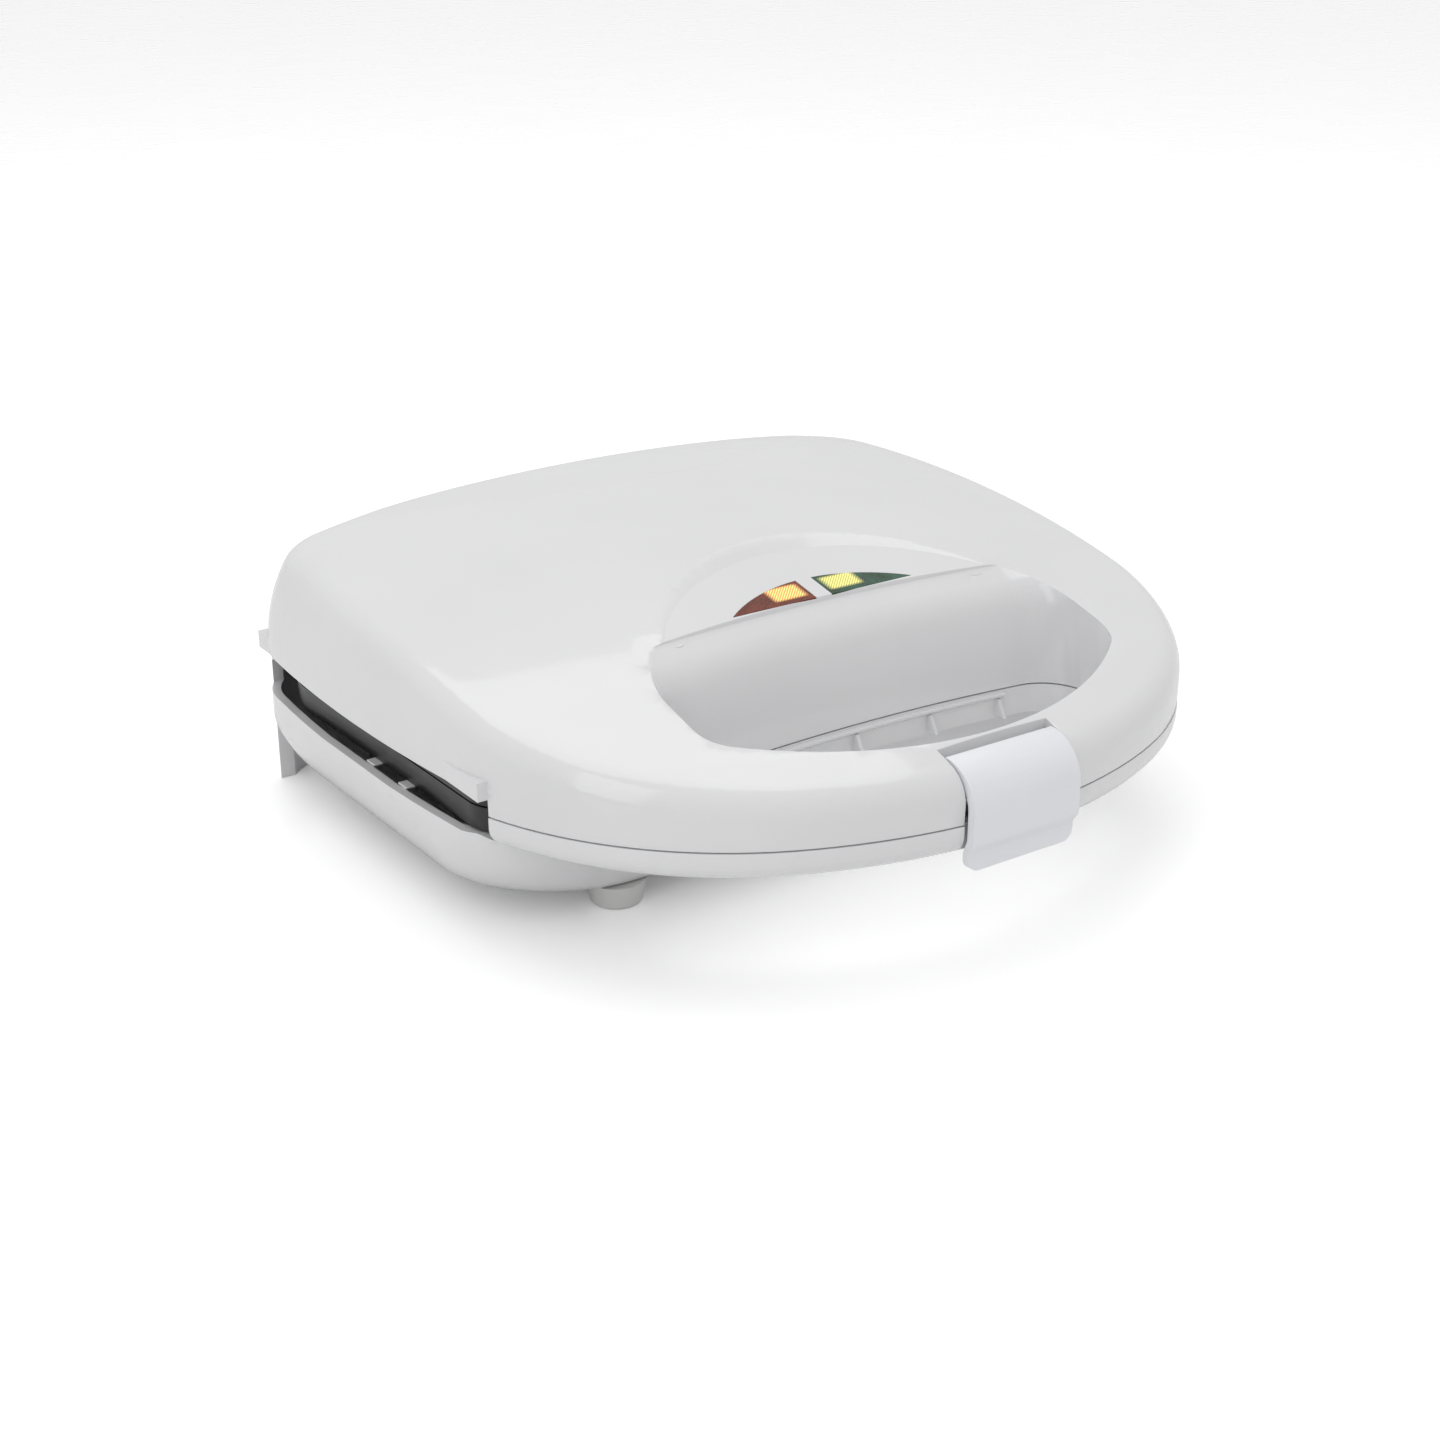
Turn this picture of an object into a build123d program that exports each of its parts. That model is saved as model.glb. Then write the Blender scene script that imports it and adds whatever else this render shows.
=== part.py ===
from build123d import *
import os
from math import cos, radians, sin, sqrt, tan

# Sandwich maker for two slices: a hinged clamshell with a D-shaped handle opening.
# Millimetres, +Z up, X across, front towards -Y. The origin is on the table, under the middle.

# Outline of the shells, seen from above
body_width = 228.0
front_y = -110.2
rear_y = 107.2
front_radius = 140.0
turn_radius = 60.0
corner_radius = 24.0
front_angle = 25.0
bend_angle = 72.0
side_start_angle = 84.0
side_end_angle = 96.0
corner_end_angle = 172.0

# Heights and crown
parting_z = 37.4
parting_gap = 0.4
crown_z = 82.5
crown_y = 66.0
crown_radius = 480.0
lean_start_z = 44.0
lean_radius = 50.0
lid_edge_radius = 9.0
wall = 2.5

# Flatter slope at the back of the lid
slope_z = 82.9
slope_y = 30.0
slope_radius = 480.0
slope_cross_radius = 796.0
slope_swing = 12.0

# Sloping lamp panel and the arched step behind it
panel_y = -29.5
panel_z = 69.8
panel_tilt = 12.0
arch_y = -68.0
arch_radius = 64.5
arch_flare = 30.0
arch_height = 9.0

# Opening behind the handle
opening_front_y = -97.0
opening_front_radius = 99.0
opening_half_width = 67.0
opening_rear_radius = 440.0
opening_low_rear_y = -44.0
opening_high_rear_y = -38.0
opening_high_z = 67.0
opening_corner = 13.0
opening_roll = 10.0

# Base
band_bottom_z = 29.0
band_edge_radius = 5.5
hull_front_y = -42.5
hull_rear_y = 101.0
hull_bottom_z = 7.0
hull_bottom_inset = 12.0
hull_corner = 24.0
skirt_wall = 3.5
skirt_front_y = 91.0
leg_width = 17.0
arch_top_z = 20.0

# Side windows that show the plates
window_front_y = -39.0
window_rear_y = 91.0
window_low_z = 30.4
window_high_z = 42.0
flange_front_x = 112.0
flange_rear_x = 110.3
flange_height = 5.0

# Cooking plates
plate_half_width = 108.5
plate_front_y = -38.0
plate_rear_y = 90.0
plate_front_corner = 10.0
plate_rear_corner = 25.0
plate_skirt = 6.3
plate_skirt_wall = 2.5
plate_web = 3.1
plate_gap = 0.5
plate_room = 0.6
pocket_width = 92.0
pocket_length = 100.0
pocket_inner_x = 5.0
pocket_front_y = -24.0
pocket_depth = 10.0
pocket_draft = 5.0
pocket_wall = 2.5
pocket_corner = 7.0
divider_half = 3.0

# Heating elements, their straps and the reflector trays
element_diameter = 6.5
element_gap = 0.3
element_half_x = 74.0
element_front_y = -8.0
element_rear_y = 60.0
element_end_x = 16.0
element_end_y = 83.0
element_bend = 16.0
terminal_diameter = 2.4
terminal_length = 9.0
strap_width = 12.0
strap_thickness = 1.0
strap_foot = 8.0
tray_thickness = 0.8
tray_lip = 6.0
tray_gap = 1.4
tray_half_width = 88.0
tray_front_y = -14.0
tray_rear_y = 76.0
tray_corner = 14.0
tray_post_x = 40.0
tray_post_y = 26.0
tray_post_diameter = 6.0

# Screws and posts that hold the plates
post_x = 50.0
post_front_y = -31.0
post_rear_y = 83.0
post_diameter = 7.0
screw_diameter = 3.0
screw_gap = 0.1
screw_length = 14.0
head_diameter = 5.6
head_height = 1.8

# Hinge at the back
hinge_y = 106.5
hinge_z = 40.0
hinge_x = 60.0
knuckle_radius = 5.5
lug_width = 11.4
ear_width = 6.0
ear_gap = 0.3
hinge_pin_diameter = 3.5
running_gap = 0.05
pin_overhang = 0.6

# Latch on the front of the handle
latch_width = 34.5
latch_side_gap = 0.5
latch_pivot_y = -102.2
latch_pivot_z = 48.0
latch_front_y = -112.0
latch_top_z = 52.2
latch_top_y = -100.4
latch_wall = 2.4
latch_tuck_z = 33.5
latch_tuck = 1.9
latch_lip_z = 29.6
latch_bottom_z = 25.0
latch_lip_corner = 3.5
barrel_diameter = 5.8
latch_pin_diameter = 3.0
slot_rear_y = -97.8
notch_floor_y = -107.4

# Lamps and lenses
lens_depth = 9.7
lens_half_width = 29.6
lens_inner_x = 2.7
lens_thickness = 3.2
lens_gap = 0.15
lamp_diameter = 5.0
lamp_length = 12.0
lamp_x = 12.0
lamp_gap = 0.4

# Feet and mains inlet
foot_x = 68.0
foot_y = -31.0
foot_diameter = 16.0
foot_taper = 1.2
foot_pin_diameter = 5.0
foot_pin_length = 5.0
inlet_x = 24.0
inlet_z = 22.0
inlet_diameter = 11.0
inlet_bore = 6.8
inlet_length = 12.0
terminal_block_size = (26.0, 12.0, 9.0)
thermostat_diameter = 16.0
thermostat_height = 7.0

# Values that follow from the ones above
lid_low_z = parting_z + parting_gap / 2
base_top_z = parting_z - parting_gap / 2
upper_plate_z = parting_z + plate_gap / 2
lower_plate_z = parting_z - plate_gap / 2
element_radius = element_diameter / 2
bowl_depth = pocket_depth + pocket_wall
element_drop = bowl_depth + element_gap + element_radius
tray_drop = element_drop + element_radius + strap_thickness + element_gap + tray_gap
high_z = crown_z + 20.0
far = 160.0


def sine(angle):
    return sin(radians(angle))


def cosine(angle):
    return cos(radians(angle))


def solve_outline():
    """The bend, side and rear radii follow from the width and the length of the body."""
    reach = (1 + cosine(corner_end_angle)) / sine(corner_end_angle)
    corner_run = corner_radius * (sine(side_end_angle) - sine(corner_end_angle))
    half = body_width / 2
    across_bend = sine(bend_angle) - sine(front_angle)
    across_side = 1 - sine(side_start_angle)
    across = half - front_radius * sine(front_angle)
    across -= turn_radius * (sine(side_start_angle) - sine(bend_angle))
    along_bend = cosine(front_angle) - cosine(bend_angle)
    along_side = cosine(side_start_angle) - cosine(side_end_angle)
    along_side -= reach * (1 - sine(side_end_angle))
    along = rear_y - front_y - front_radius * (1 - cosine(front_angle))
    along -= turn_radius * (cosine(bend_angle) - cosine(side_start_angle))
    along -= corner_radius * (cosine(side_end_angle) - cosine(corner_end_angle))
    along -= reach * (half - corner_run)
    spread = across_bend * along_side - across_side * along_bend
    bend = (across * along_side - across_side * along) / spread
    side = (across_bend * along - along_bend * across) / spread
    rear = (half - side * (1 - sine(side_end_angle)) - corner_run) / sine(corner_end_angle)
    return bend, side, rear


bend_radius, side_radius, rear_radius = solve_outline()


def outline(inset, z):
    """Closed outline of the body, drawn in by inset, as tangent arcs."""
    radii = [front_radius, bend_radius, turn_radius, side_radius, corner_radius, rear_radius]
    angles = [0, front_angle, bend_angle, side_start_angle, side_end_angle, corner_end_angle, 180]
    x, y = 0.0, front_y + inset
    right = []
    for radius, start, end in zip(radii, angles, angles[1:]):
        r = radius - inset
        cx, cy = x - r * sine(start), y + r * cosine(start)
        turns = (start, (start + end) / 2, end)
        right.append([(cx + r * sine(a), cy - r * cosine(a)) for a in turns])
        x, y = right[-1][2]
    front, rear = right[0], right[-1]
    edges = [ThreePointArc((-front[2][0], front[2][1], z), (0, front[0][1], z), (*front[2], z))]
    for points in right[1:-1]:
        edges.append(ThreePointArc(*[(px, py, z) for px, py in points]))
    edges.append(ThreePointArc((*rear[0], z), (0, rear[2][1], z), (-rear[0][0], rear[0][1], z)))
    for points in reversed(right[1:-1]):
        edges.append(ThreePointArc(*[(-px, py, z) for px, py in reversed(points)]))
    return Wire(edges)


def prism(inset, low, high):
    """The body outline, drawn in by inset, as a straight block."""
    return extrude(Face(outline(inset, low)), high - low, dir=(0, 0, 1))


def block(x0, x1, y0, y1, z0, z1):
    """A box from its corners."""
    return Pos((x0 + x1) / 2, (y0 + y1) / 2, (z0 + z1) / 2) * Box(x1 - x0, y1 - y0, z1 - z0)


def post(x, y, z0, z1, diameter):
    """A round bar along Z."""
    return Pos(x, y, (z0 + z1) / 2) * Cylinder(diameter / 2, z1 - z0)


def rod(x0, x1, y, z, diameter):
    """A round bar along X."""
    return Pos((x0 + x1) / 2, y, z) * Rot(0, 90, 0) * Cylinder(diameter / 2, x1 - x0)


def both_sides(shape):
    """A shape and its mirror image across the middle."""
    return shape + mirror(shape, Plane.YZ)


def lean(z):
    """How far the lid's side wall leans in at a height."""
    if z <= lean_start_z:
        return 0.0
    return lean_radius - sqrt(lean_radius**2 - (z - lean_start_z) ** 2)


def rear_slope(inset):
    """Everything under the flatter back of the lid, turned about a low axis along Y."""
    radius = slope_radius - inset
    half = rear_y - slope_y + wall
    top = slope_z - inset
    drop = radius - sqrt(radius**2 - half**2)
    floor = parting_z - high_z
    ends = [(0, slope_y - half, top - drop), (0, slope_y + half, top - drop)]
    feet = [(0, slope_y + half, floor), (0, slope_y - half, floor)]
    edges = [ThreePointArc(ends[0], (0, slope_y, top), ends[1]), Line(ends[1], feet[0])]
    edges += [Line(feet[0], feet[1]), Line(feet[1], ends[0])]
    axis = Axis((0, 0, slope_z - slope_cross_radius), (0, 1, 0))
    face = Face(Wire(edges)).rotate(axis, -slope_swing)
    return revolve(face, axis, 2 * slope_swing)


def panel_plane(y):
    """Plane of the lamp panel, with its origin on the middle line at y."""
    z = panel_z + (y - panel_y) * tan(radians(panel_tilt))
    return Plane((0, y, z), (1, 0, 0), (0, -sine(panel_tilt), cosine(panel_tilt)))


def lamp_panel(inset):
    """The cut that leaves the sloping panel with an arched step round it."""
    cut = Cone(arch_radius, arch_radius + arch_flare, arch_height)
    return panel_plane(arch_y) * Pos(0, 0, arch_height / 2 - inset) * cut


def lid_form(inset):
    """The lid as a full block, drawn in by inset on every side."""
    heights = [parting_z - 2 * wall, lean_start_z, 52.0, 60.0, 68.0, 76.0, 86.0]
    body = Solid.make_loft([outline(inset + lean(z), z) for z in heights])
    body = body & Pos(0, crown_y, crown_z - crown_radius) * Sphere(crown_radius - inset)
    top = body.faces().sort_by(Axis.Z)[-1]
    body = fillet(top.edges(), lid_edge_radius - inset)
    rear_half = block(-far, far, slope_y, far, parting_z - high_z, high_z)
    body = body - rear_half + (body & rear_half & rear_slope(inset))
    return body - lamp_panel(inset)


def opening_wire(rear, grow, z):
    """D-shaped outline of the handle opening at a height, larger by grow."""
    disc = Pos(0, opening_front_y + opening_front_radius, z) * Circle(opening_front_radius + grow)
    back = Pos(0, rear - opening_rear_radius, z) * Circle(opening_rear_radius + grow)
    middle = (opening_front_y + rear) / 2
    sides = Pos(0, middle, z) * Rectangle(2 * (opening_half_width + grow), far)
    face = disc & back & sides
    return fillet(face.vertices(), opening_corner + grow).faces()[0].outer_wire()


def opening_rear(z):
    """Where the rear wall of the opening stands at a height: a leaning wall under a soft roll."""
    slope = (opening_high_rear_y - opening_low_rear_y) / (opening_high_z - parting_z)
    wall_y = opening_low_rear_y + slope * (z - parting_z)
    panel_slope = tan(radians(panel_tilt))
    top = panel_z + panel_slope * (opening_low_rear_y - panel_y)
    edge_z = (top - panel_slope * slope * parting_z) / (1 - panel_slope * slope)
    start_z = edge_z - opening_roll
    if z <= start_z:
        return wall_y
    rise = min(z - start_z, opening_roll * sine(90 - panel_tilt))
    return wall_y + opening_roll - sqrt(opening_roll**2 - rise**2)


def opening_form(grow):
    """The handle opening as a block whose rear wall leans back and rolls over at the top."""
    levels = [parting_z, 50.0, 58.0, 60.0, 62.0, 64.0, 66.0, 67.5, 68.5, high_z]
    body = Solid.make_loft([opening_wire(opening_rear(z), grow, z) for z in levels], True)
    low = Face(opening_wire(opening_low_rear_y, grow, parting_z))
    return body + extrude(low, parting_z, dir=(0, 0, -1))


def window_block(low, high):
    """The space of both side windows between two heights."""
    inner = plate_half_width - 2 * plate_skirt_wall
    return both_sides(block(inner, far, window_front_y, window_rear_y, low, high))


def post_places():
    """Centres of the four posts that carry each plate."""
    return [(side * post_x, y) for side in (-1, 1) for y in (post_front_y, post_rear_y)]


def lens_form(side, grow, thickness):
    """A lens as a block square to the panel: straight front edge, arched rear edge."""
    radius = (lens_half_width**2 + lens_depth**2) / (2 * lens_depth)
    arc = Pos(0, lens_depth - radius) * Circle(radius + grow)
    width = lens_half_width - lens_inner_x + 2 * grow
    middle = side * (lens_inner_x - grow + width / 2)
    strip = Pos(middle, lens_depth / 2) * Rectangle(width, lens_depth + 2 * grow)
    face = panel_plane(panel_y) * (arc & strip)
    return extrude(face, thickness, dir=(0, sine(panel_tilt), -cosine(panel_tilt)))


def make_lid_shell():
    """Upper housing: crowned shell, handle, lamp panel, window lips and hinge lugs."""
    inner = lid_form(wall)
    outer = lid_form(0)
    opening = opening_form(0)
    shell = outer - inner + (opening_form(wall) & outer) - opening
    lip_x = plate_half_width - 2 * plate_skirt_wall
    corners = [(lip_x, window_front_y), (flange_front_x, window_front_y)]
    corners += [(flange_rear_x, window_rear_y), (lip_x, window_rear_y)]
    lip = extrude(Pos(0, 0, window_high_z) * Face(Wire.make_polygon(corners)), flange_height)
    shell += both_sides(lip) - inner
    shell -= window_block(parting_z - 2 * wall, window_high_z)
    shell -= plate_room_form(parting_z - 2 * wall, upper_plate_z + plate_skirt + plate_room)
    shell -= block(-far, far, -far, far, parting_z - 2 * wall, lid_low_z)
    core = lid_form(wall / 2)
    for x, y in post_places():
        shell += post(x, y, upper_plate_z + plate_web, high_z, post_diameter) & core
        hole = post(x, y, upper_plate_z, upper_plate_z + screw_length, screw_diameter + 2 * screw_gap)
        shell -= hole
    for side in (-1, 1):
        low = upper_plate_z + tray_drop + tray_thickness
        shell += post(side * tray_post_x, tray_post_y, low, high_z, tray_post_diameter) & core
    for x in (-hinge_x, hinge_x):
        half = lug_width / 2
        room = half + ear_gap + ear_width + 2 * pin_overhang
        space = knuckle_radius + parting_gap
        shell -= rod(x - room, x + room, hinge_y, hinge_z, 2 * space)
        shell -= block(x - room, x + room, hinge_y - space, far, parting_z - wall, hinge_z)
        lug = rod(x - half, x + half, hinge_y, hinge_z, 2 * (knuckle_radius - parting_gap))
        web_high = hinge_z + 2 * knuckle_radius
        web = block(x - half, x + half, rear_y - 3 * wall, hinge_y + wall, hinge_z, web_high)
        shell += lug + (web & core)
        shell -= rod(x - room, x + room, hinge_y, hinge_z, hinge_pin_diameter + 2 * running_gap)
    half = latch_width / 2 + latch_side_gap
    shell -= block(-half, half, -far, slot_rear_y, parting_z - wall, high_z)
    for side in (-1, 1):
        x0, x1 = sorted((side * half, side * (half + wall)))
        shell += block(x0, x1, -far, slot_rear_y, lid_low_z, high_z) & core
    reach = half + wall + pin_overhang
    shell -= rod(-reach, reach, latch_pivot_y, latch_pivot_z, latch_pin_diameter)
    for side in (-1, 1):
        shell -= lens_form(side, lens_gap, 2 * wall)
    return shell


def hull_section(inset, z):
    """Rounded outline of the base's tub at a height."""
    half = body_width / 2 - inset
    length = hull_rear_y - hull_front_y - inset
    face = Pos(0, (hull_front_y + hull_rear_y) / 2, z) * Rectangle(2 * half, length)
    return fillet(face.vertices(), hull_corner + inset).faces()[0].outer_wire()


def base_form(inset):
    """The base as a full block, drawn in by inset: handle band and tub."""
    band = prism(inset, band_bottom_z + inset, parting_z)
    low = band.faces().sort_by(Axis.Z)[0]
    band = fillet(low.edges(), band_edge_radius - inset)
    drop = (parting_z - hull_bottom_z) / 3
    insets = [0.0, 0.8, 3.6, hull_bottom_inset]
    levels = [parting_z - drop * i for i in range(4)]
    levels[-1] += inset
    sections = [hull_section(inset + extra, z) for extra, z in zip(insets, levels)]
    hull = Solid.make_loft(sections) & prism(inset, 0, parting_z)
    return band + hull


def make_base_shell():
    """Lower housing: tub, handle band, rear skirt with two legs, posts and hinge ears."""
    outer = base_form(0)
    inner = base_form(wall)
    opening = opening_form(0)
    shell = outer - inner + (opening_form(wall) & outer) - opening
    skirt = prism(0, 0, band_bottom_z + wall) - prism(skirt_wall, 0, band_bottom_z + wall)
    skirt &= block(-far, far, skirt_front_y, far, 0, parting_z)
    span = body_width / 2 - leg_width
    arch_radius_skirt = (span**2 + arch_top_z**2) / (2 * arch_top_z)
    arch = Pos(0, far / 2, arch_top_z - arch_radius_skirt) * Rot(90, 0, 0)
    skirt -= arch * Cylinder(arch_radius_skirt, far)
    shell += skirt - inner
    shell -= window_block(window_low_z, parting_z)
    shell -= plate_room_form(lower_plate_z - plate_skirt - plate_room, high_z)
    shell -= block(-far, far, -far, far, base_top_z, high_z)
    for x, y in post_places():
        high = lower_plate_z - plate_web
        shell += post(x, y, hull_bottom_z + wall / 2, high, post_diameter)
        shell -= post(x, y, high - screw_length, high, screw_diameter + 2 * screw_gap)
    for side in (-1, 1):
        high = lower_plate_z - tray_drop - tray_thickness
        shell += post(side * tray_post_x, tray_post_y, hull_bottom_z + wall / 2, high, tray_post_diameter)
    for x in (-hinge_x, hinge_x):
        half = lug_width / 2
        shell -= rod(x - half - ear_gap, x + half + ear_gap, hinge_y, hinge_z, 2 * (knuckle_radius + parting_gap))
        for side in (-1, 1):
            x0, x1 = sorted((x + side * (half + ear_gap), x + side * (half + ear_gap + ear_width)))
            ear = rod(x0, x1, hinge_y, hinge_z, 2 * knuckle_radius)
            web = block(x0, x1, hinge_y - knuckle_radius, hinge_y + knuckle_radius, band_bottom_z, hinge_z)
            shell += ear + web
            shell -= rod(x0, x1, hinge_y, hinge_z, hinge_pin_diameter)
    half = latch_width / 2 + latch_side_gap
    shell -= block(-half, half, -far, notch_floor_y, 0, high_z)
    notch_back = block(-half - wall, half + wall, notch_floor_y, notch_floor_y + wall, band_bottom_z, base_top_z)
    shell += notch_back & outer
    for side in (-1, 1):
        x0, x1 = sorted((side * half, side * (half + wall)))
        shell += block(x0, x1, -far, notch_floor_y + wall, band_bottom_z, base_top_z) & outer
        shell -= post(side * foot_x, foot_y, 0, hull_bottom_z + 2 * wall, foot_pin_diameter)
    inlet = Pos(inlet_x, rear_y, inlet_z) * Rot(90, 0, 0) * Cylinder(inlet_diameter / 2, 3 * inlet_length)
    return shell - inlet


def plate_outline(inset, z):
    """Outline of a cooking plate: small front corners, large rear corners."""
    width = 2 * (plate_half_width - inset)
    length = plate_rear_y - plate_front_y - 2 * inset
    face = Pos(0, (plate_front_y + plate_rear_y) / 2, z) * Rectangle(width, length)
    corners = face.vertices().sort_by(Axis.Y)
    face = fillet(corners[:2], plate_front_corner - inset)
    rear = face.vertices().sort_by(Axis.Y)[-2:]
    return fillet(rear, plate_rear_corner - inset)


def plate_room_form(low, high):
    """The space that a shell leaves round the edge of its plate."""
    return extrude(plate_outline(-plate_room, low), high - low)


def pocket_triangle(flip, inset, z):
    """One triangular half of a slice pocket, drawn in by inset."""
    x0, x1 = pocket_inner_x, pocket_inner_x + pocket_width
    y0, y1 = pocket_front_y, pocket_front_y + pocket_length
    slant = sqrt(pocket_width**2 + pocket_length**2)
    shift_x = divider_half * slant / pocket_length
    shift_y = divider_half * slant / pocket_width
    if flip:
        points = [(x0, y0 + shift_y), (x1 - shift_x, y1), (x0, y1)]
    else:
        points = [(x0 + shift_x, y0), (x1, y0), (x1, y1 - shift_y)]
    face = Face(Wire.make_polygon(points))
    if inset:
        face = offset(face, -inset, kind=Kind.INTERSECTION)
    return Pos(0, 0, z) * fillet(face.vertices(), pocket_corner - min(inset, 0))


def pocket_form(grow, depth):
    """The four pockets of a plate as drafted blocks that go down from z = 0."""
    solids = []
    for flip in (False, True):
        top = pocket_triangle(flip, -grow, 0)
        bottom = pocket_triangle(flip, pocket_draft - grow, -depth)
        solids.append(loft([bottom, top]))
    right = solids[0] + solids[1]
    return right + mirror(right, Plane.YZ)


def plate_body():
    """A cooking plate with its cooking face at z = 0, looking up."""
    plate = extrude(plate_outline(0, -plate_skirt), plate_skirt)
    plate -= extrude(plate_outline(plate_skirt_wall, -plate_skirt), plate_skirt - plate_web)
    plate += pocket_form(pocket_wall, bowl_depth)
    plate -= pocket_form(0, pocket_depth)
    for x, y in post_places():
        plate -= post(x, y, -plate_web, 0, screw_diameter + 2 * screw_gap)
        plate -= post(x, y, -head_height, 0, head_diameter + 2 * screw_gap)
    return plate


def element_route():
    """Middle line of the heating element at z = 0, from end to end."""
    x0, x1 = element_end_x, element_half_x
    y0, y1, y2 = element_front_y, element_rear_y, element_end_y
    points = [(x0, y2, 0), (x0, y1, 0), (x1, y1, 0), (x1, y0, 0)]
    points += [(-x, y, z) for x, y, z in reversed(points)]
    return FilletPolyline(*points, radius=element_bend)


def element_body():
    """Sheathed tube heater bent into a loop, with its two terminal pins."""
    path = element_route()
    tube = sweep(Plane(path @ 0, z_dir=path % 0) * Circle(element_radius), path)
    for side in (-1, 1):
        middle = element_end_y + terminal_length / 2
        pin = Pos(side * element_end_x, middle, 0) * Rot(90, 0, 0)
        tube += pin * Cylinder(terminal_diameter / 2, terminal_length)
    return tube


def strap_body():
    """Two saddle straps that hold the element up against the pockets."""
    seat = element_radius + element_gap
    out = element_radius + element_gap
    straps = []
    for side in (-1, 1):
        x = side * element_half_x
        y = (element_front_y + element_rear_y) / 2
        y0, y1 = y - strap_width / 2, y + strap_width / 2
        outer = out + strap_thickness
        hat = block(x - outer, x + outer, y0, y1, -out - strap_thickness, seat)
        hat -= block(x - out, x + out, y0, y1, -out, seat)
        feet = block(x - outer - strap_foot, x + outer + strap_foot, y0, y1, seat - strap_thickness, seat)
        feet -= block(x - out, x + out, y0, y1, 0, seat)
        straps.append(hat + feet)
    return straps[0] + straps[1]


def tray_body():
    """Reflector tray: a thin pan with raised edges and holes, its floor under z = 0."""
    width, length = 2 * tray_half_width, tray_rear_y - tray_front_y
    place = Pos(0, (tray_front_y + tray_rear_y) / 2, -tray_thickness)
    full = fillet((place * Rectangle(width, length)).vertices(), tray_corner)
    edge = 2 * tray_thickness
    hollow = fillet((place * Rectangle(width - edge, length - edge)).vertices(), tray_corner - edge / 2)
    tray = extrude(full, tray_lip) - extrude(Pos(0, 0, tray_thickness) * hollow, tray_lip)
    return tray


def make_plate(upper):
    """A cooking plate in its place in the base or the lid."""
    if upper:
        return Pos(0, 0, upper_plate_z) * mirror(plate_body(), Plane.XY)
    return Pos(0, 0, lower_plate_z) * plate_body()


def placed(body, upper, drop):
    """A piece that lies a drop behind a cooking face, in the base or the lid."""
    if upper:
        return Pos(0, 0, upper_plate_z + drop) * mirror(body, Plane.XY)
    return Pos(0, 0, lower_plate_z - drop) * body


def screw_bodies():
    """Four pan-head screws with their heads sunk in the cooking face."""
    screws = []
    for x, y in post_places():
        shank = post(x, y, -screw_length, -head_height, screw_diameter)
        head = post(x, y, -head_height, -screw_gap, head_diameter)
        screws.append(head + shank)
    return Compound(children=screws)


def make_hinge_pins():
    """Two steel pins, one through each hinge."""
    reach = lug_width / 2 + ear_gap + ear_width + pin_overhang
    pins = [rod(x - reach, x + reach, hinge_y, hinge_z, hinge_pin_diameter) for x in (-hinge_x, hinge_x)]
    return Compound(children=pins)


def make_latch():
    """Latch: a curved cover with a barrel at the top and a thumb lip at the bottom."""
    half = latch_width / 2
    outer_radius = latch_top_y - latch_front_y
    centre = (latch_top_y, latch_top_z - outer_radius)
    inner_radius = outer_radius - latch_wall
    mid = cosine(45)
    tuck_y = latch_front_y + latch_tuck
    inner_y = latch_front_y + latch_wall
    lip_y = notch_floor_y - 2 * parting_gap
    outer = [(latch_top_y, latch_top_z), (centre[0] - outer_radius * mid, centre[1] + outer_radius * mid)]
    outer += [(latch_front_y, centre[1]), (latch_front_y, latch_tuck_z)]
    with BuildSketch(Plane.YZ) as section:
        with BuildLine():
            ThreePointArc(outer[0], outer[1], outer[2])
            Line(outer[2], outer[3])
            Spline(outer[3], (tuck_y, latch_lip_z), tangents=[(0, -1), (0.2, -1)])
            Line((tuck_y, latch_lip_z), (tuck_y - 0.3, latch_bottom_z))
            Line((tuck_y - 0.3, latch_bottom_z), (lip_y, latch_bottom_z))
            Line((lip_y, latch_bottom_z), (lip_y, latch_lip_z))
            Line((lip_y, latch_lip_z), (inner_y, latch_tuck_z))
            Line((inner_y, latch_tuck_z), (inner_y, centre[1]))
            inner_mid = (centre[0] - inner_radius * mid, centre[1] + inner_radius * mid)
            ThreePointArc((inner_y, centre[1]), inner_mid, (latch_top_y, latch_top_z - latch_wall))
            Line((latch_top_y, latch_top_z - latch_wall), (latch_top_y, latch_top_z))
        make_face()
    cover = extrude(section.sketch, half, both=True)
    lip_edges = cover.edges().filter_by(Axis.Y).group_by(Axis.Z)[0]
    cover = fillet(lip_edges, latch_lip_corner)
    barrel = rod(-half, half, latch_pivot_y, latch_pivot_z, barrel_diameter)
    latch = cover + barrel
    return latch - rod(-half, half, latch_pivot_y, latch_pivot_z, latch_pin_diameter + 2 * running_gap)


def make_latch_pin():
    """Steel pin across the latch slot."""
    reach = latch_width / 2 + latch_side_gap + wall
    return rod(-reach, reach, latch_pivot_y, latch_pivot_z, latch_pin_diameter)


def lamp_place():
    """Frame under the lenses in which the lamps and their holder lie."""
    return panel_plane(panel_y) * Pos(0, lens_depth / 2, -lens_thickness - lamp_gap - lamp_diameter / 2)


def make_lamp(side):
    """Neon lamp: a glass bulb with rounded ends, lying under its lens."""
    straight = lamp_length - lamp_diameter
    bulb = Cylinder(lamp_diameter / 2, straight)
    bulb += Pos(0, 0, straight / 2) * Sphere(lamp_diameter / 2)
    bulb += Pos(0, 0, -straight / 2) * Sphere(lamp_diameter / 2)
    return lamp_place() * Pos(side * lamp_x, 0, 0) * Rot(0, 90, 0) * bulb


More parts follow.
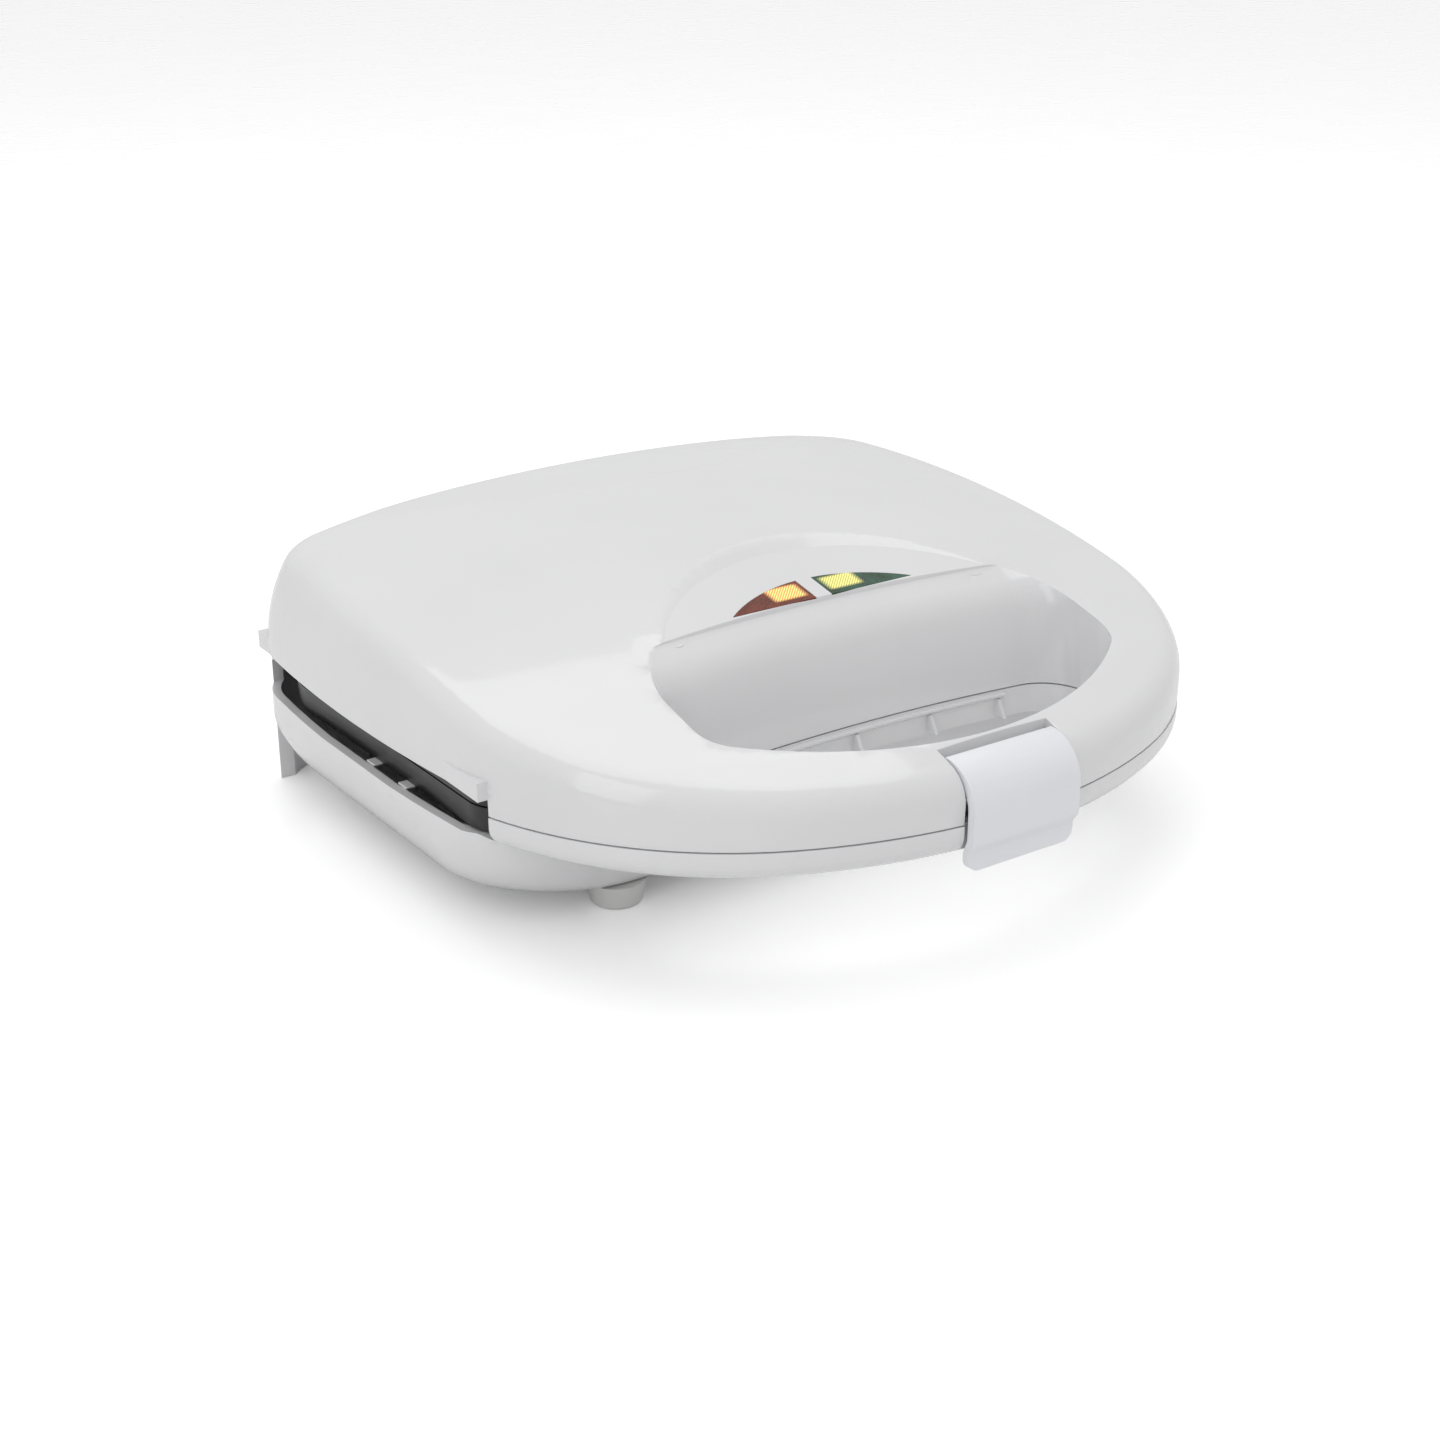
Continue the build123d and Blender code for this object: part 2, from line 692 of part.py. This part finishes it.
def make_lamp_holder():
    """Tray under the panel that carries both lamps, with a rib between them."""
    room = lamp_diameter / 2 + element_gap
    width = lamp_x + lamp_length / 2 + element_gap
    top = lamp_diameter / 2 + lamp_gap + lens_thickness - wall - element_gap
    tray = block(-width - wall, width + wall, -room - wall, room + wall, -room - wall, top)
    tray -= both_sides(block(lamp_x - lamp_length / 2 - element_gap, width, -room, room, -room, top))
    tray -= both_sides(lens_form_local(top))
    return lamp_place() * tray


def lens_form_local(top):
    """Room for the underside of a lens in the lamp holder."""
    low = lamp_diameter / 2 + lamp_gap / 2
    return block(0, lens_half_width + wall, -lens_depth, lens_depth, low, top + wall)


def make_foot(side):
    """Soft round foot with a pin that plugs into the base."""
    top = hull_bottom_z - parting_gap
    foot = Cone(foot_diameter / 2 - foot_taper, foot_diameter / 2, top)
    foot = fillet(foot.edges().sort_by(Axis.Z)[0], 1.0)
    pin = post(0, 0, top / 2, top + foot_pin_length, foot_pin_diameter - 2 * screw_gap)
    return Pos(side * foot_x, foot_y, 0) * (Pos(0, 0, top / 2) * foot + pin)


def make_inlet():
    """Bush in the back wall for the mains lead, with a collar inside the wall."""
    place = Pos(inlet_x, rear_y, inlet_z) * Rot(90, 0, 0)
    bush = Pos(0, 0, inlet_length / 2) * Cylinder(inlet_diameter / 2 - screw_gap, inlet_length)
    bore = Cylinder(inlet_bore / 2, 4 * inlet_length)
    return place * (bush - bore)


def make_terminal_block():
    """Three-way screw terminal block on the floor of the base."""
    width, length, height = terminal_block_size
    floor = hull_bottom_z + wall
    y = tray_rear_y + length / 2 + wall
    body = block(-width / 2, width / 2, y - length / 2, y + length / 2, floor, floor + height)
    pitch = width / 3
    for i in (-1, 0, 1):
        body -= post(i * pitch, y, floor + height / 2, floor + height, terminal_diameter * 2)
        bore = Pos(i * pitch, y, floor + height / 3) * Rot(90, 0, 0)
        body -= bore * Cylinder(terminal_diameter / 2, length)
    return body


def make_thermostat():
    """Disc thermostat on the back of the upper plate, between the pockets."""
    low = upper_plate_z + bowl_depth
    body = post(0, 0, 0, thermostat_height, thermostat_diameter)
    body += block(-thermostat_diameter * 0.75, thermostat_diameter * 0.75, -4.0, 4.0, 0, 1.2)
    return Pos(element_half_x - 30.0, (element_front_y + element_rear_y) / 2, low) * body


nodes = {
    "base_shell": make_base_shell,
    "lid_shell": make_lid_shell,
    "lower_cook_plate": lambda: make_plate(False),
    "upper_cook_plate": lambda: make_plate(True),
    "lower_heating_element": lambda: placed(element_body(), False, element_drop),
    "upper_heating_element": lambda: placed(element_body(), True, element_drop),
    "lower_element_straps": lambda: placed(strap_body(), False, element_drop),
    "upper_element_straps": lambda: placed(strap_body(), True, element_drop),
    "lower_reflector": lambda: placed(tray_body(), False, tray_drop),
    "upper_reflector": lambda: placed(tray_body(), True, tray_drop),
    "lower_plate_screws": lambda: placed(screw_bodies(), False, 0),
    "upper_plate_screws": lambda: placed(screw_bodies(), True, 0),
    "hinge_pins": make_hinge_pins,
    "latch": make_latch,
    "latch_pin": make_latch_pin,
    "red_lens": lambda: lens_form(-1, 0, lens_thickness),
    "green_lens": lambda: lens_form(1, 0, lens_thickness),
    "red_lamp": lambda: make_lamp(-1),
    "green_lamp": lambda: make_lamp(1),
    "lamp_holder": make_lamp_holder,
    "left_foot": lambda: make_foot(-1),
    "right_foot": lambda: make_foot(1),
    "mains_inlet": make_inlet,
    "terminal_block": make_terminal_block,
    "thermostat": make_thermostat,
}

os.makedirs("parts", exist_ok=True)
for name, make in nodes.items():
    export_step(make(), f"parts/{name}.step")
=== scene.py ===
import math

import bpy
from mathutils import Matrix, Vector


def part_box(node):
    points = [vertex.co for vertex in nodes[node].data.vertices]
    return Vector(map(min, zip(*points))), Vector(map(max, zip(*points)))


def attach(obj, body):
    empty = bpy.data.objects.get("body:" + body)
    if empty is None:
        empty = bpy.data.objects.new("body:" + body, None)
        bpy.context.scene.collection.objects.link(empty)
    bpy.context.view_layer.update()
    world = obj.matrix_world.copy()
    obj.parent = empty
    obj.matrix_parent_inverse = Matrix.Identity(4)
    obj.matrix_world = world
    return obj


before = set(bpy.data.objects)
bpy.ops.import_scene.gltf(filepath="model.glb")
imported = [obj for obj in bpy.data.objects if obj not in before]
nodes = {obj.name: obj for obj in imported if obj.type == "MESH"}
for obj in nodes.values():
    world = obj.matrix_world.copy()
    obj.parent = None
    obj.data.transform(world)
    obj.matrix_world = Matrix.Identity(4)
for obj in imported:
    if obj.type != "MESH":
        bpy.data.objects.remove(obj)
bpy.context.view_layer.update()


# Driving values, with lengths in metres

WHITE = (1.0, 1.0, 1.0)

WELD_DISTANCE = 0.00001
HARD_EDGE = math.radians(35)
SHELL_EDGE_RADIUS = 0.0006
SHELL_EDGE_SEGMENTS = 3
PIECE_EDGE_SEGMENTS = 2

GAP_REAR_Y = -0.044
GAP_REAR_RADIUS = 0.440

LIP_HALF_LENGTH = 0.050
LIP_STEPS = 40
LIP_EDGE_RADIUS = 0.0003
# Each point of a profile is a distance behind the gap's rear wall and a height
LIP_PROFILE = [(0.0003, 0.0366), (-0.0014, 0.0366), (-0.0016, 0.0360), (-0.0006, 0.0350), (0.0003, 0.0346)]

RIB_PLACES_X = (-0.048, -0.025, 0.0, 0.025, 0.048)
RIB_HALF_THICKNESS = 0.0006
RIB_EDGE_RADIUS = 0.0002
RIB_PROFILE = [(0.0003, 0.0350), (-0.0012, 0.0350), (-0.0040, 0.0300), (0.0003, 0.0300)]

CLIP_INNER_X = 0.1075
CLIP_OUTER_X = 0.1110
CLIP_BOTTOM = 0.0303
CLIP_TOP = 0.0310
CLIP_HALF_LENGTH = 0.0022
CLIP_PLACES_Y = (0.0035, 0.0215)
CLIP_EDGE_RADIUS = 0.0003

SCREW_PLACES_X = (-0.050, 0.050)
SCREW_PLACES_Y = (-0.031, 0.083)
CROSS_ARM = 0.0016
CROSS_HALF_WIDTH = 0.00035
CROSS_DEPTH = 0.00004
CROSS_EDGE_RADIUS = 0.00001

FLOOR_REACH = 6.0


# Materials

class Graph:
    """A small helper that adds nodes to one material and links them."""

    def __init__(self, name):
        self.material = bpy.data.materials.new(name)
        self.material.use_nodes = True
        self.tree = self.material.node_tree
        self.shader = self.tree.nodes["Principled BSDF"]
        self.place = self.tree.nodes.new("ShaderNodeTexCoord").outputs["Object"]

    def add(self, kind, **values):
        node = self.tree.nodes.new(kind)
        for key, value in values.items():
            setattr(node, key, value)
        return node

    def link(self, source, target):
        self.tree.links.new(source, target)

    def noise(self, scale, detail=2.0, roughness=0.5, place=None):
        node = self.add("ShaderNodeTexNoise")
        node.inputs["Scale"].default_value = scale
        node.inputs["Detail"].default_value = detail
        node.inputs["Roughness"].default_value = roughness
        self.link(self.place if place is None else place, node.inputs["Vector"])
        return node.outputs["Fac"]

    def ramp(self, source, low, high, start=0.3, end=0.7):
        """Blends between two colours as the source goes from start to end."""
        node = self.add("ShaderNodeValToRGB")
        first, last = node.color_ramp.elements
        first.position, last.position = start, end
        first.color, last.color = (*low, 1.0), (*high, 1.0)
        self.link(source, node.inputs["Fac"])
        return node.outputs["Color"]

    def spread(self, source, low, high, start=0.3, end=0.7):
        """Maps the source from start..end to low..high."""
        node = self.add("ShaderNodeMapRange")
        for key, value in zip(("From Min", "From Max", "To Min", "To Max"), (start, end, low, high)):
            node.inputs[key].default_value = value
        self.link(source, node.inputs["Value"])
        return node.outputs["Result"]

    def bump(self, source, distance):
        node = self.add("ShaderNodeBump")
        node.inputs["Strength"].default_value = 1.0
        node.inputs["Distance"].default_value = distance
        self.link(source, node.inputs["Height"])
        return node.outputs["Normal"]

    def compute(self, kind, *values):
        """One sum on outputs and plain values."""
        node = self.add("ShaderNodeMath", operation=kind)
        for socket, value in zip(node.inputs, values):
            if isinstance(value, bpy.types.NodeSocket):
                self.link(value, socket)
            else:
                socket.default_value = value
        return node.outputs["Value"]

    def put(self, **sources):
        """Links outputs, or sets plain values, on the shader's sockets, and gives the material."""
        for key, value in sources.items():
            socket = self.shader.inputs[key.replace("_", " ")]
            if isinstance(value, bpy.types.NodeSocket):
                self.link(value, socket)
            elif isinstance(value, tuple):
                socket.default_value = (*value, 1.0)
            else:
                socket.default_value = value
        return self.material


def moulded(name, low, high, rough, grain, bump_depth, coat=0.0):
    """Moulded plastic: a faint cloud of colour, uneven gloss and a fine skin."""
    g = Graph(name)
    cloud = g.noise(scale=18.0, detail=3.0)
    skin = g.noise(scale=grain, detail=3.0, roughness=0.6)
    colour = g.ramp(cloud, low, high)
    gloss = g.spread(g.noise(scale=60.0, detail=4.0), *rough)
    normal = g.bump(skin, bump_depth)
    return g.put(Base_Color=colour, Roughness=gloss, Normal=normal, Coat_Weight=coat, Coat_Roughness=0.06)


def metal(name, low, high, rough, stretch, bump_depth):
    """Rolled or brushed metal with streaks along X."""
    g = Graph(name)
    mapping = g.add("ShaderNodeMapping")
    mapping.inputs["Scale"].default_value = stretch
    g.link(g.place, mapping.inputs["Vector"])
    streak = g.noise(scale=300.0, detail=4.0, place=mapping.outputs["Vector"])
    colour = g.ramp(g.noise(scale=40.0, detail=3.0), low, high)
    gloss = g.spread(streak, *rough)
    normal = g.bump(streak, bump_depth)
    return g.put(Base_Color=colour, Roughness=gloss, Metallic=1.0, Normal=normal)


def coated(name, speck, ground, rough, bump_depth):
    """Non-stick coating with a fine speckle."""
    g = Graph(name)
    fine = g.noise(scale=2600.0)
    dots = g.add("ShaderNodeTexVoronoi")
    dots.inputs["Scale"].default_value = 700.0
    g.link(g.place, dots.inputs["Vector"])
    colour = g.ramp(dots.outputs["Distance"], speck, ground, start=0.02, end=0.16)
    gloss = g.spread(g.noise(scale=70.0, detail=4.0), *rough)
    normal = g.bump(fine, bump_depth)
    return g.put(Base_Color=colour, Roughness=gloss, Normal=normal, Coat_Weight=0.15)


def lens(name, dark, light, glow, centre, half):
    """Tinted lens with a dotted pattern and the lamp glowing through one end.

    The glow is centred on a place in the frame, and half is its reach along X and Y.
    """
    g = Graph(name)
    dot_pitch = 0.0009
    glow_power, glow_rest = 1.7, 0.02
    dot_share, dot_relief = 0.6, 0.00025
    hot = (1.0, 0.80, 0.30)
    fade_start, fade_end = 0.8, 1.15

    split = g.add("ShaderNodeSeparateXYZ")
    g.link(g.place, split.inputs["Vector"])
    along = [split.outputs["X"], split.outputs["Y"]]

    waves = [g.compute("SINE", g.compute("MULTIPLY", way, 2 * math.pi / dot_pitch)) for way in along]
    dots = g.spread(g.compute("MULTIPLY", *waves), low=0.0, high=1.0, start=-0.4, end=0.7)

    near = []
    for way, middle, reach in zip(along, centre, half):
        away = g.compute("ABSOLUTE", g.compute("SUBTRACT", way, middle))
        near.append(g.spread(away, low=1.0, high=0.0, start=reach * fade_start, end=reach * fade_end))
    spot = g.compute("MULTIPLY", *near)

    pattern = g.compute("MULTIPLY_ADD", dots, dot_share, 1.0 - dot_share)
    strength = g.compute("MULTIPLY_ADD", g.compute("MULTIPLY", spot, pattern), glow_power, glow_rest)
    tone = g.ramp(g.noise(scale=260.0, detail=3.0), dark, light, start=0.35, end=0.7)
    warm = g.ramp(dots, glow, hot, start=0.1, end=0.75)
    gloss = g.spread(dots, low=0.08, high=0.22, start=0.0, end=1.0)
    return g.put(Base_Color=tone, Roughness=gloss, Normal=g.bump(dots, dot_relief),
                 Emission_Color=warm, Emission_Strength=strength, Coat_Weight=0.1,
                 Specular_IOR_Level=0.3)


def studio_floor():
    """White floor that keeps the object's soft shadow."""
    g = Graph("studio_floor")
    seen = g.add("ShaderNodeLightPath").outputs["Is Camera Ray"]
    tone = g.spread(seen, low=0.9, high=1.2, start=0.0, end=1.0)
    lift = g.spread(seen, low=0.0, high=0.1, start=0.0, end=1.0)
    gloss = g.spread(g.noise(scale=14.0), low=0.25, high=0.3)
    return g.put(Base_Color=tone, Roughness=gloss, Emission_Color=WHITE, Emission_Strength=lift)


white = moulded("gloss_white_plastic", low=(0.77, 0.77, 0.78), high=(0.80, 0.80, 0.81),
                rough=(0.16, 0.24), grain=900.0, bump_depth=0.000012, coat=0.8)
cool = moulded("satin_white_plastic", low=(0.86, 0.865, 0.90), high=(0.88, 0.885, 0.92),
               rough=(0.30, 0.40), grain=2600.0, bump_depth=0.00001, coat=0.2)
inner = moulded("plain_white_plastic", low=(0.66, 0.66, 0.65), high=(0.72, 0.72, 0.71),
                rough=(0.42, 0.55), grain=1800.0, bump_depth=0.00003)
ceramic = moulded("unglazed_ceramic", low=(0.68, 0.65, 0.58), high=(0.76, 0.73, 0.67),
                  rough=(0.6, 0.8), grain=2400.0, bump_depth=0.00006)
rubber = moulded("pale_rubber", low=(0.68, 0.68, 0.67), high=(0.74, 0.74, 0.73),
                 rough=(0.5, 0.65), grain=3000.0, bump_depth=0.00005)
glass = moulded("lamp_glass", low=(0.85, 0.62, 0.25), high=(0.95, 0.72, 0.35),
                rough=(0.05, 0.1), grain=400.0, bump_depth=0.00001, coat=0.5)
coating = coated("nonstick_coating", speck=(0.055, 0.055, 0.058), ground=(0.012, 0.012, 0.013),
                 rough=(0.28, 0.42), bump_depth=0.00004)
steel = metal("zinc_plated_steel", low=(0.55, 0.56, 0.58), high=(0.68, 0.68, 0.70),
              rough=(0.22, 0.38), stretch=(0.05, 1.0, 1.0), bump_depth=0.00001)
sheath = metal("heat_tinted_steel", low=(0.26, 0.22, 0.19), high=(0.42, 0.38, 0.35),
               rough=(0.3, 0.5), stretch=(0.3, 1.0, 1.0), bump_depth=0.00002)
tray = metal("mill_aluminium", low=(0.70, 0.71, 0.73), high=(0.80, 0.81, 0.82),
             rough=(0.2, 0.36), stretch=(0.04, 1.0, 1.0), bump_depth=0.00001)
red = lens("red_lens", dark=(0.15, 0.014, 0.004), light=(0.27, 0.035, 0.012),
           glow=(1.0, 0.42, 0.05), centre=(-0.0092, -0.0244), half=(0.0051, 0.0031))
green = lens("green_lens", dark=(0.006, 0.05, 0.03), light=(0.02, 0.13, 0.085),
             glow=(0.62, 0.62, 0.08), centre=(0.0094, -0.0244), half=(0.0053, 0.0031))

finish = {
    "base_shell": white, "lid_shell": white, "latch": cool, "lower_cook_plate": coating,
    "upper_cook_plate": coating, "lower_heating_element": sheath, "upper_heating_element": sheath,
    "lower_element_straps": steel, "upper_element_straps": steel, "lower_reflector": tray,
    "upper_reflector": tray, "lower_plate_screws": steel, "upper_plate_screws": steel,
    "hinge_pins": steel, "latch_pin": steel, "red_lens": red, "green_lens": green,
    "red_lamp": glass, "green_lamp": glass, "lamp_holder": inner, "left_foot": rubber,
    "right_foot": rubber, "mains_inlet": inner, "terminal_block": ceramic, "thermostat": ceramic,
}
for name, material in finish.items():
    mesh = nodes[name].data
    mesh.materials.clear()
    mesh.materials.append(material)


# Softer edges on the moulded pieces

def round_edges(obj, radius, segments):
    """Rounds the hard edges of an object with a modifier and leaves its mesh as it is."""
    bevel = obj.modifiers.new("edge_radius", "BEVEL")
    bevel.width = radius
    bevel.segments = segments
    bevel.limit_method = "ANGLE"
    bevel.angle_limit = HARD_EDGE
    bevel.harden_normals = True
    return bevel


for name in ("lid_shell", "base_shell", "latch"):
    weld = nodes[name].modifiers.new("weld", "WELD")
    weld.merge_threshold = WELD_DISTANCE
    shell_bevel = round_edges(nodes[name], SHELL_EDGE_RADIUS, SHELL_EDGE_SEGMENTS)
    shell_bevel.miter_outer = "MITER_ARC"


# Rim lip and stiffening ribs on the base, behind the handle opening

def add_object(name, data):
    obj = bpy.data.objects.new(name, data)
    bpy.context.scene.collection.objects.link(obj)
    return obj


def add_mesh(name, verts, faces, material):
    mesh = bpy.data.meshes.new(name)
    mesh.from_pydata(verts, [], faces)
    mesh.materials.append(material)
    return add_object(name, mesh)


def add_piece(name, verts, faces, material, body, radius):
    """A mesh piece that rides on a body."""
    obj = add_mesh(name, verts, faces, material)
    for face in obj.data.polygons:
        face.use_smooth = True
    round_edges(obj, radius, PIECE_EDGE_SEGMENTS)
    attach(obj, body)


def ring_faces(count, rings, start=0):
    """Faces of a piece made of rings of corners, one after another, with its two ends filled."""
    faces = []
    for ring in range(rings - 1):
        for i in range(count):
            a = start + ring * count + i
            b = start + ring * count + (i + 1) % count
            faces.append((a, a + count, b + count, b))
    first = range(start, start + count)
    last = [corner + (rings - 1) * count for corner in first]
    return faces + [tuple(first), tuple(reversed(last))]


def add_bar(name, left, right, profile, radius):
    """A short bar along X between two places, on the base."""
    verts = [(x, y, z) for x in (left, right) for y, z in profile]
    add_piece(name, verts, ring_faces(len(profile), 2), white, "base", radius)


def gap_rear(x):
    """Rear wall of the handle opening at the parting line."""
    return GAP_REAR_Y - (GAP_REAR_RADIUS - math.sqrt(GAP_REAR_RADIUS**2 - x * x))


def add_gap_lip():
    """A small shelf along the top of the rear wall of the gap."""
    verts = []
    for i in range(LIP_STEPS + 1):
        x = -LIP_HALF_LENGTH + 2 * LIP_HALF_LENGTH * i / LIP_STEPS
        verts += [(x, gap_rear(x) + dy, z) for dy, z in LIP_PROFILE]
    faces = ring_faces(len(LIP_PROFILE), LIP_STEPS + 1)
    add_piece("gap_rim_lip", verts, faces, white, "base", LIP_EDGE_RADIUS)


def add_gap_rib(name, x):
    """A thin gusset under the lip."""
    profile = [(gap_rear(x) + dy, z) for dy, z in RIB_PROFILE]
    add_bar(name, x - RIB_HALF_THICKNESS, x + RIB_HALF_THICKNESS, profile, RIB_EDGE_RADIUS)


add_gap_lip()
for number, x in enumerate(RIB_PLACES_X, start=1):
    add_gap_rib(f"gap_rib_{number}", x)


# Small clips on the window ledges, under the edge of the lower plate

def add_ledge_clip(name, side, y):
    """A flat block on one ledge, with side -1 for the left and 1 for the right."""
    left, right = sorted((side * CLIP_INNER_X, side * CLIP_OUTER_X))
    front, rear = y - CLIP_HALF_LENGTH, y + CLIP_HALF_LENGTH
    profile = [(front, CLIP_BOTTOM), (front, CLIP_TOP), (rear, CLIP_TOP), (rear, CLIP_BOTTOM)]
    add_bar(name, left, right, profile, CLIP_EDGE_RADIUS)


for side, label in ((-1, "left"), (1, "right")):
    for number, y in enumerate(CLIP_PLACES_Y, start=1):
        add_ledge_clip(f"ledge_clip_{label}_{number}", side, y)


# Painted shade: dark crosses on the heads of the plate screws, standing for the shade in their cross slots

def cross_outline():
    """The twelve corners of a plus sign, counterclockwise."""
    arm, half = CROSS_ARM, CROSS_HALF_WIDTH
    return [(-half, -arm), (half, -arm), (half, -half), (arm, -half), (arm, half), (half, half),
            (half, arm), (-half, arm), (-half, half), (-arm, half), (-arm, -half), (-half, -half)]


def add_screw_slot_shade(name, z, turn, body):
    """A dark cross of painted shade on each of the four heads, just clear of the metal, where the shade of
    the slot falls.
    """
    cross = cross_outline()
    levels = (z + turn * CROSS_DEPTH, z)
    verts, faces = [], []
    for cx in SCREW_PLACES_X:
        for cy in SCREW_PLACES_Y:
            faces += ring_faces(len(cross), len(levels), len(verts))
            verts += [(cx + x, cy + y, level) for level in levels for x, y in cross]
    # The dark coating colour paints the shade inside the slots; the slots themselves are steel
    add_piece(name, verts, faces, coating, body, CROSS_EDGE_RADIUS)


add_screw_slot_shade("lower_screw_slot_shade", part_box("lower_plate_screws")[1][2], 1, "base")
add_screw_slot_shade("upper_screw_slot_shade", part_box("upper_plate_screws")[0][2], -1, "lid")


# Studio: floor, light and camera

def aim(place, target):
    """The turn that makes a light or a camera at one place look at another."""
    return (Vector(target) - Vector(place)).to_track_quat("-Z", "Y").to_euler()


def add_floor(reach):
    corners = [(-reach, -reach, 0), (reach, -reach, 0), (reach, reach, 0), (-reach, reach, 0)]
    obj = add_mesh("floor", corners, [(0, 1, 2, 3)], studio_floor())


def add_light(name, place, target, width, length, power):
    data = bpy.data.lights.new(name, "AREA")
    data.shape = "RECTANGLE"
    data.size = width
    data.size_y = length
    data.energy = power
    obj = add_object(name, data)
    obj.location = place
    obj.rotation_euler = aim(place, target)


def add_world(level):
    """White to the camera and through glass, and a plain soft light on everything else."""
    world = bpy.data.worlds.new("studio")
    world.use_nodes = True
    bpy.context.scene.world = world
    tree = world.node_tree
    tree.nodes.clear()
    path = tree.nodes.new("ShaderNodeLightPath")
    seen = tree.nodes.new("ShaderNodeMath")
    seen.operation = "MAXIMUM"
    for socket, ray in zip(seen.inputs, ("Is Camera Ray", "Is Transmission Ray")):
        tree.links.new(path.outputs[ray], socket)
    mix = tree.nodes.new("ShaderNodeMixShader")
    tree.links.new(seen.outputs["Value"], mix.inputs["Fac"])
    unseen_socket, seen_socket = mix.inputs[1], mix.inputs[2]
    for socket, strength in ((unseen_socket, level), (seen_socket, 1.0)):
        sky = tree.nodes.new("ShaderNodeBackground")
        sky.inputs["Color"].default_value = (*WHITE, 1.0)
        sky.inputs["Strength"].default_value = strength
        tree.links.new(sky.outputs["Background"], socket)
    out = tree.nodes.new("ShaderNodeOutputWorld")
    tree.links.new(mix.outputs["Shader"], out.inputs["Surface"])


def add_camera(place, target):
    data = bpy.data.cameras.new("photo_camera")
    data.sensor_width = 36.0
    data.lens = 55.6
    data.clip_start = 0.01
    data.clip_end = 50.0
    obj = add_object("photo_camera", data)
    obj.location = place
    obj.rotation_euler = aim(place, target)
    bpy.context.scene.camera = obj


add_floor(FLOOR_REACH)
add_world(level=0.72)
add_light("overhead", place=(0.1, 0.35, 1.4), target=(0.0, 0.0, 0.0),
          width=1.4, length=1.2, power=5.0)
add_light("left_strip", place=(-1.25, -0.5, 0.9), target=(0.0, -0.05, 0.04),
          width=0.55, length=1.5, power=2.6)
add_camera(place=(-0.3442, -0.4726, 0.2649), target=(-0.0312, -0.0256, 0.040))
bpy.context.scene.view_settings.view_transform = "Standard"
